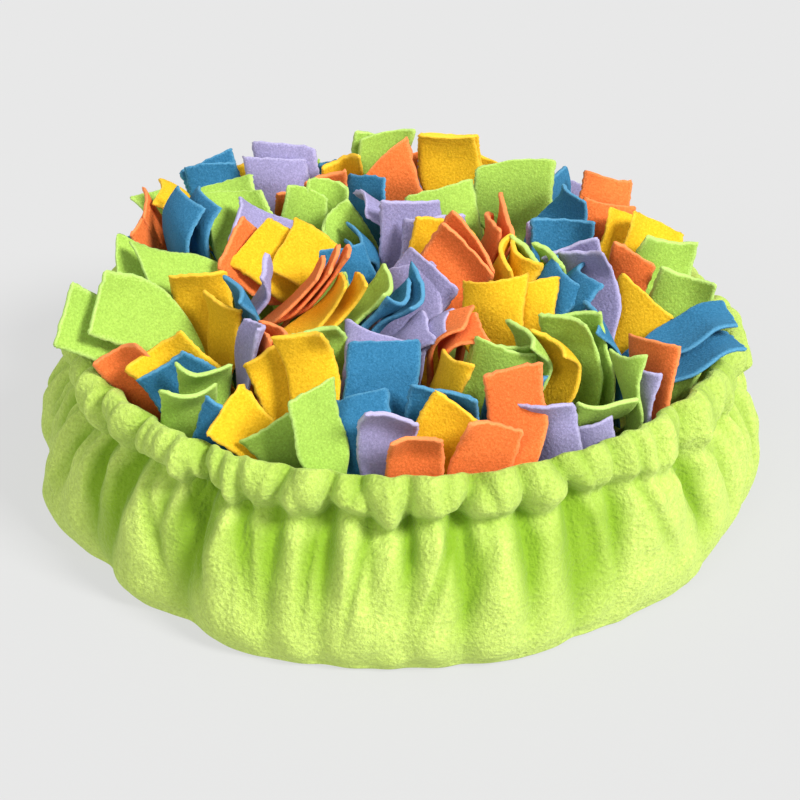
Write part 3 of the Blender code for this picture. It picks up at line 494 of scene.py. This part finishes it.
def make_cover():
    """The cover, from the middle of its underside over the rim to the middle of its inner side."""
    azimuths = np.arange(AROUND) * 360.0 / AROUND
    numbers = np.arange(len(COVER_ROWS))
    values = np.array([row[1:5] for row in COVER_ROWS])
    rings, shade_amounts = [], []
    for i, row in enumerate(COVER_ROWS):
        outside = i <= RIM_ROW
        steps = max(row[5], 1)
        for step in range(steps):
            at = np.array([i + step / steps])
            radius, height, fold_share, crease_share = eased(numbers, values, at)[0]
            height = max(height, 0.0 if outside else LOWEST_INSIDE)
            ring, painted_shade = cover_ring(azimuths, radius, height, max(fold_share, 0.0),
                                      max(crease_share, 0.0), outside)
            rings.append(ring)
            shade_amounts.append(painted_shade)
    points = np.concatenate(rings + [np.array([[0.0, 0.0, 0.0], [0.0, 0.0, FLOOR_CLOTH]])])
    shade_amounts = np.concatenate(shade_amounts + [np.zeros(2)])

    faces = []
    for r in range(len(rings) - 1):
        faces += band_faces(r * AROUND, (r + 1) * AROUND, AROUND)
    last = (len(rings) - 1) * AROUND
    under, inside = len(points) - 2, len(points) - 1
    faces += [((i + 1) % AROUND, i, under) for i in range(AROUND)]
    faces += [(last + i, last + (i + 1) % AROUND, inside) for i in range(AROUND)]

    cloth = fleece("cover_fleece", COVER_COLOUR, COVER_FUZZ, pebble=2.2 * MM, grain=1.0 * MM,
                   depth=1.4 * MM, contrast=0.28, shade_richness=COVER_SHADE_RICH)
    cover = cloth_piece("bowl_cover", points, faces, np.zeros(len(points)), shade_amounts,
                        [0] * len(faces), [cloth])
    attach(cover, "root")
    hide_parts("cover")


# ---- strips ----------------------------------------------------------------------------------------
def tuft_strips(node, faced):
    """Sections of each strip of a tuft's solid, root first, in their order from back to front."""
    bm = bmesh.new()
    bm.from_mesh(node.data)
    bmesh.ops.remove_doubles(bm, verts=bm.verts, dist=0.02 * MM)
    bm.verts.index_update()
    foot = min(v.co.z for v in bm.verts)
    head = {v for v in bm.verts if v.co.z < foot + HEAD_HEIGHT + 0.5 * MM}
    left = set(bm.verts) - head
    strips = []
    while left:
        ring = {v for v in left if any(e.other_vert(v) in head for e in v.link_edges)}
        start = min(ring, key=lambda v: v.index)
        grown, front = {start}, [start]
        while front:
            found = {e.other_vert(v) for v in front for e in v.link_edges} & left - grown
            grown |= found
            front = list(found)
        level = grown & ring
        base = {e.other_vert(v) for v in level for e in v.link_edges} & head
        centre = sum((v.co for v in base), Vector()) / len(base)
        sections, seen = [], set()
        while level:
            sections.append(np.array([v.co[:] for v in sorted(level, key=lambda v: v.co[:])]))
            seen |= level
            level = {e.other_vert(v) for v in level for e in v.link_edges} & grown - seen
        strips.append((np.array(centre), sections))
        left -= grown
    bm.free()
    toward = np.array([math.cos(math.radians(faced)), math.sin(math.radians(faced)), 0.0])
    return sorted(strips, key=lambda strip: strip[0] @ toward)


def section_axes(sections, start):
    """Centre, width axis and width of each four-cornered section, kept on one side."""
    centres, across, widths = [start], [], []
    for corners in sections:
        gaps = np.linalg.norm(corners[1:] - corners[0], axis=1)
        mate = 1 + int(np.argmin(gaps))
        others = [k for k in (1, 2, 3) if k != mate]
        one = (corners[0] + corners[mate]) / 2.0
        two = (corners[others[0]] + corners[others[1]]) / 2.0
        axis = two - one
        if across and axis @ across[-1] < 0.0:
            axis = -axis
        centres.append(corners.mean(axis=0))
        widths.append(np.linalg.norm(axis))
        across.append(axis)
    across.insert(0, across[0])
    widths.insert(0, widths[0])
    return np.array(centres), unit(np.array(across)), np.array(widths)


def tuft_habit(chance):
    """How the strips of one tuft bend alike, so that they stay off one another."""
    return {"cup": chance.uniform(-CUP, CUP),
            "bow": chance.uniform(-BOW, BOW),
            "fold": chance.choice([-1.0, 0.0, 1.0]) * chance.uniform(*FOLD),
            "fold_length": chance.uniform(*FOLD_LENGTH),
            "corner": chance.choice([-1.0, 1.0])}


def strip_line(start, sections):
    """Fine stations along one strip, with its place, width, sideways and lengthwise way at each."""
    centres, across, widths = section_axes(sections, start)
    foot = centres[0] - np.array([0.0, 0.0, HEAD_HEIGHT])
    centres = np.vstack([foot, centres])
    across = np.vstack([across[0], across])
    widths = np.concatenate([[widths[0]], widths])
    along = np.concatenate([[0.0], np.cumsum(np.linalg.norm(np.diff(centres, axis=0), axis=1))])
    total = along[-1]
    stations = np.concatenate([
        np.linspace(0.0, total - FREE_LENGTH, HIDDEN_STATIONS, endpoint=False),
        np.linspace(total - FREE_LENGTH, total, FREE_STATIONS, endpoint=False),
        total - np.array(TIP_STATIONS) * MM])
    line = eased(along, centres, stations)
    wide = eased(along, widths, stations)
    sides = unit(eased(along, across, stations))
    heading = unit(np.gradient(line, stations, axis=0))
    sides = unit(sides - heading * np.sum(sides * heading, axis=1, keepdims=True))
    return stations, line, wide, sides, heading


def strip_shape(start, sections, habit, chance):
    """Fine points of one strip: rings of a rounded cloth section along its smooth line."""
    stations, line, wide, sides, heading = strip_line(start, sections)
    facing = np.cross(sides, heading)
    total = stations[-1]
    from_tip = total - stations
    free_share = smooth(1.0 - from_tip / FREE_LENGTH)
    tip_share = smooth(1.0 - from_tip / TIP_LENGTH)

    # half the width and half the thickness at each station, with rounded cut corners
    corner = np.maximum(CORNER - from_tip, 0.0)
    half = wide / 2.0 - (CORNER - np.sqrt(np.maximum(CORNER ** 2 - corner ** 2, 0.0)))
    waist = WAIST * np.sin(stations / WAIST_WAVE + chance.uniform(0, 6)) * smooth(stations / total)
    half *= 1.0 + waist
    thinned = TIP_THINNING * np.clip(1.0 - from_tip / CORNER, 0.0, 1.0) ** 2
    thick = CLOTH / 2.0 * np.sqrt(1.0 - thinned)

    # u runs from -1 to 1 across the strip, closer together at its edges
    even = np.linspace(-1.0, 1.0, ACROSS_COUNT)
    u = even * (1.3 - 0.3 * even ** 2)
    round_off = np.sqrt(np.clip(1.0 - np.abs(u) ** EDGE_SQUARENESS, 0.0, 1.0))

    # how far each point is lifted off the strip's plane, slid along it and spread sideways
    cup = habit["cup"] + chance.uniform(-OWN_CUP, OWN_CUP)
    curled = habit["corner"] * chance.uniform(*CORNER_CURL)
    corner_side = chance.choice([-1.0, 1.0])
    skew = chance.uniform(-SKEW, SKEW)
    folded = np.clip(1.0 - from_tip / habit["fold_length"], 0.0, 1.0) ** 2
    bowed = np.sin(2.0 * math.pi * np.clip(from_tip / FREE_LENGTH, 0.0, 1.0))
    lift = (cup * free_share[:, None] * (u ** 2 - 0.3)
            + (habit["fold"] * folded + habit["bow"] * bowed)[:, None]
            + curled * tip_share[:, None] ** 2 * np.clip(u * corner_side - 0.05, 0.0, 1.0) ** 2)
    slide = skew * tip_share[:, None] * u
    slide = slide + chance.normal(0.0, RAGGED, ACROSS_COUNT) * tip_share[:, None] ** 8
    ragged = chance.normal(0.0, RAGGED, (len(stations), 2)) * free_share[:, None]
    spread = half[:, None] * u + np.where(u < 0.0, ragged[:, :1], ragged[:, 1:]) * np.abs(u) ** 8

    middle = (line[:, None, :] + sides[:, None, :] * spread[:, :, None]
              + facing[:, None, :] * lift[:, :, None] + heading[:, None, :] * slide[:, :, None])
    normal = unit(np.cross(np.gradient(middle, axis=1), np.gradient(middle, axis=0)))
    off = normal * (thick[:, None] * round_off)[:, :, None]
    rings = np.concatenate([middle + off, (middle - off)[:, -2:0:-1]], axis=1)
    # where the painted highlight goes: lighter fuzz colour near the long cut edges and at the cut end
    at_side = np.abs(u) ** 10
    at_side = np.concatenate([at_side, at_side[-2:0:-1]])
    near_edge = np.maximum(at_side, np.clip(1.0 - from_tip / FUZZY_END, 0.0, 1.0)[:, None])
    flat_area = float(np.sum((wide[1:] + wide[:-1]) / 2.0 * np.diff(stations)))
    return rings, near_edge, flat_area, float(wide[-6:].max()), total


def strip_faces(stations, around, first):
    """Faces of one strip, with its foot and tip closed."""
    faces = []
    for s in range(stations - 1):
        faces += band_faces(first + s * around, first + (s + 1) * around, around)
    for at, turned in ((first, True), (first + (stations - 1) * around, False)):
        ends = [(at, at + 1, at + around - 1)]
        for i in range(1, ACROSS_COUNT - 2):
            ends.append((at + i, at + i + 1, at + around - i - 1, at + around - i))
        ends.append((at + ACROSS_COUNT - 2, at + ACROSS_COUNT - 1, at + ACROSS_COUNT))
        faces += [face[::-1] if turned else face for face in ends]
    return faces


def drifted(points):
    """The strips' points after a slow drift that they all share, so that they stay apart."""
    drift = np.stack([soft_noise(points, DRIFT_LENGTH, seed) for seed in (11, 12, 13)], axis=-1)
    inside = smooth((DRIFT_LIMIT - np.hypot(points[:, 0], points[:, 1])) / DRIFT_FADE)
    return points + drift * (DRIFT * inside * smooth(points[:, 2] / DRIFT_RISE))[:, None]


def make_tuft(number, faced, colours, cloths):
    """One tuft, with a fine soft strip in place of each plain strip of its solid."""
    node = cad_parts[f"tuft_{number:02d}"]
    strips = tuft_strips(node, faced)
    if len(strips) != len(colours):
        raise RuntimeError(f"tuft {number}: {len(strips)} strips, {len(colours)} colours")
    chance = np.random.default_rng(number)
    habit = tuft_habit(chance)
    used = sorted(set(colours))
    points, faces, edges, paints = [], [], [], []
    flat_area = flat_width = flat_length = 0.0
    for (start, sections), colour in zip(strips, colours):
        rings, near_edge, area, width, length = strip_shape(start, sections, habit, chance)
        new_faces = strip_faces(rings.shape[0], rings.shape[1], len(points))
        points += list(rings.reshape(-1, 3))
        edges += list(near_edge.reshape(-1))
        faces += new_faces
        paints += [used.index(colour)] * len(new_faces)
        flat_area += area
        flat_width += width
        flat_length = max(flat_length, length)
    points = drifted(np.array(points))
    # painted shade: the strips are painted darker the lower they lie, where they shade one another
    shade_amounts = smooth((TIP_LINE - points[:, 2]) / TIP_LINE)
    tuft = cloth_piece(f"strip_tuft_{number:02d}", points, faces, edges, shade_amounts, paints,
                       [cloths[letter] for letter in used])
    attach(tuft, "root")
    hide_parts(node.name)


def make_tufts():
    """All tufts, in the five colours of fleece."""
    cloths = {letter: fleece(name + "_strip_fleece", cloth, fuzz_and_highlight, pebble=1.6 * MM, grain=0.55 * MM,
                             depth=0.45 * MM, contrast=0.30, shade_richness=STRIP_SHADE_RICH)
              for letter, (name, cloth, fuzz_and_highlight) in STRIP_COLOURS.items()}
    for number, faced, colours in TUFTS:
        make_tuft(number, faced, colours, cloths)


# ---- studio ----------------------------------------------------------------------------------------
FLOOR_SIZE = 24.0
FLOOR_SHARE = 0.13            # the floor's own paleness; the rest is its glow, for a soft shadow
FLOOR_GLOW = 0.618
SKY_GLOW = 0.45
# name, where it comes from, strength, softness in degrees
LIGHTS = [("key_light", (0.85, -0.62, 0.95), 4.0, 19.0), ("fill_light", (-0.6, -1.0, 0.8), 0.85, 30.0)]
CAMERA_PLACE = (0.001, -1.299, 0.82)
CAMERA_AIM = (0.001, 0.0, 0.044)
CAMERA_LENS = 118.4


def make_floor():
    """A wide pale floor."""
    bpy.ops.mesh.primitive_plane_add(size=FLOOR_SIZE, location=(0.0, 0.0, 0.0))
    floor = bpy.context.object
    floor.name = "studio_floor"
    pale = bpy.data.materials.new("pale_floor")
    pale.use_nodes = True
    shader = pale.node_tree.nodes["Principled BSDF"]
    shader.inputs["Base Color"].default_value = (FLOOR_SHARE, FLOOR_SHARE, FLOOR_SHARE, 1.0)
    shader.inputs["Emission Color"].default_value = (1.0, 1.0, 1.0, 1.0)
    shader.inputs["Emission Strength"].default_value = FLOOR_GLOW
    shader.inputs["Roughness"].default_value = 1.0
    shader.inputs["Specular IOR Level"].default_value = 0.0
    floor.data.materials.append(pale)


def make_lights():
    """Soft light from all round, and a stronger one from the right."""
    world = bpy.data.worlds.new("studio")
    bpy.context.scene.world = world
    world.use_nodes = True
    sky = world.node_tree.nodes["Background"]
    sky.inputs["Color"].default_value = (1.0, 1.0, 1.0, 1.0)
    sky.inputs["Strength"].default_value = SKY_GLOW
    bpy.context.scene.view_settings.view_transform = "Standard"
    for name, place, strength, softness in LIGHTS:
        light = bpy.data.lights.new(name, "SUN")
        light.energy = strength
        light.angle = math.radians(softness)
        lamp = bpy.data.objects.new(name, light)
        bpy.context.scene.collection.objects.link(lamp)
        lamp.location = place
        lamp.rotation_euler = (-Vector(place)).to_track_quat("-Z", "Y").to_euler()


def make_camera():
    """A long lens, looking down on the mat from the front."""
    lens = bpy.data.cameras.new("camera")
    lens.sensor_width = 36.0
    lens.lens = CAMERA_LENS
    lens.clip_end = 30.0
    camera = bpy.data.objects.new("camera", lens)
    bpy.context.scene.collection.objects.link(camera)
    camera.location = CAMERA_PLACE
    aim = Vector(CAMERA_AIM) - camera.location
    camera.rotation_euler = aim.to_track_quat("-Z", "Y").to_euler()
    bpy.context.scene.camera = camera


make_cover()
make_tufts()
make_floor()
make_lights()
make_camera()
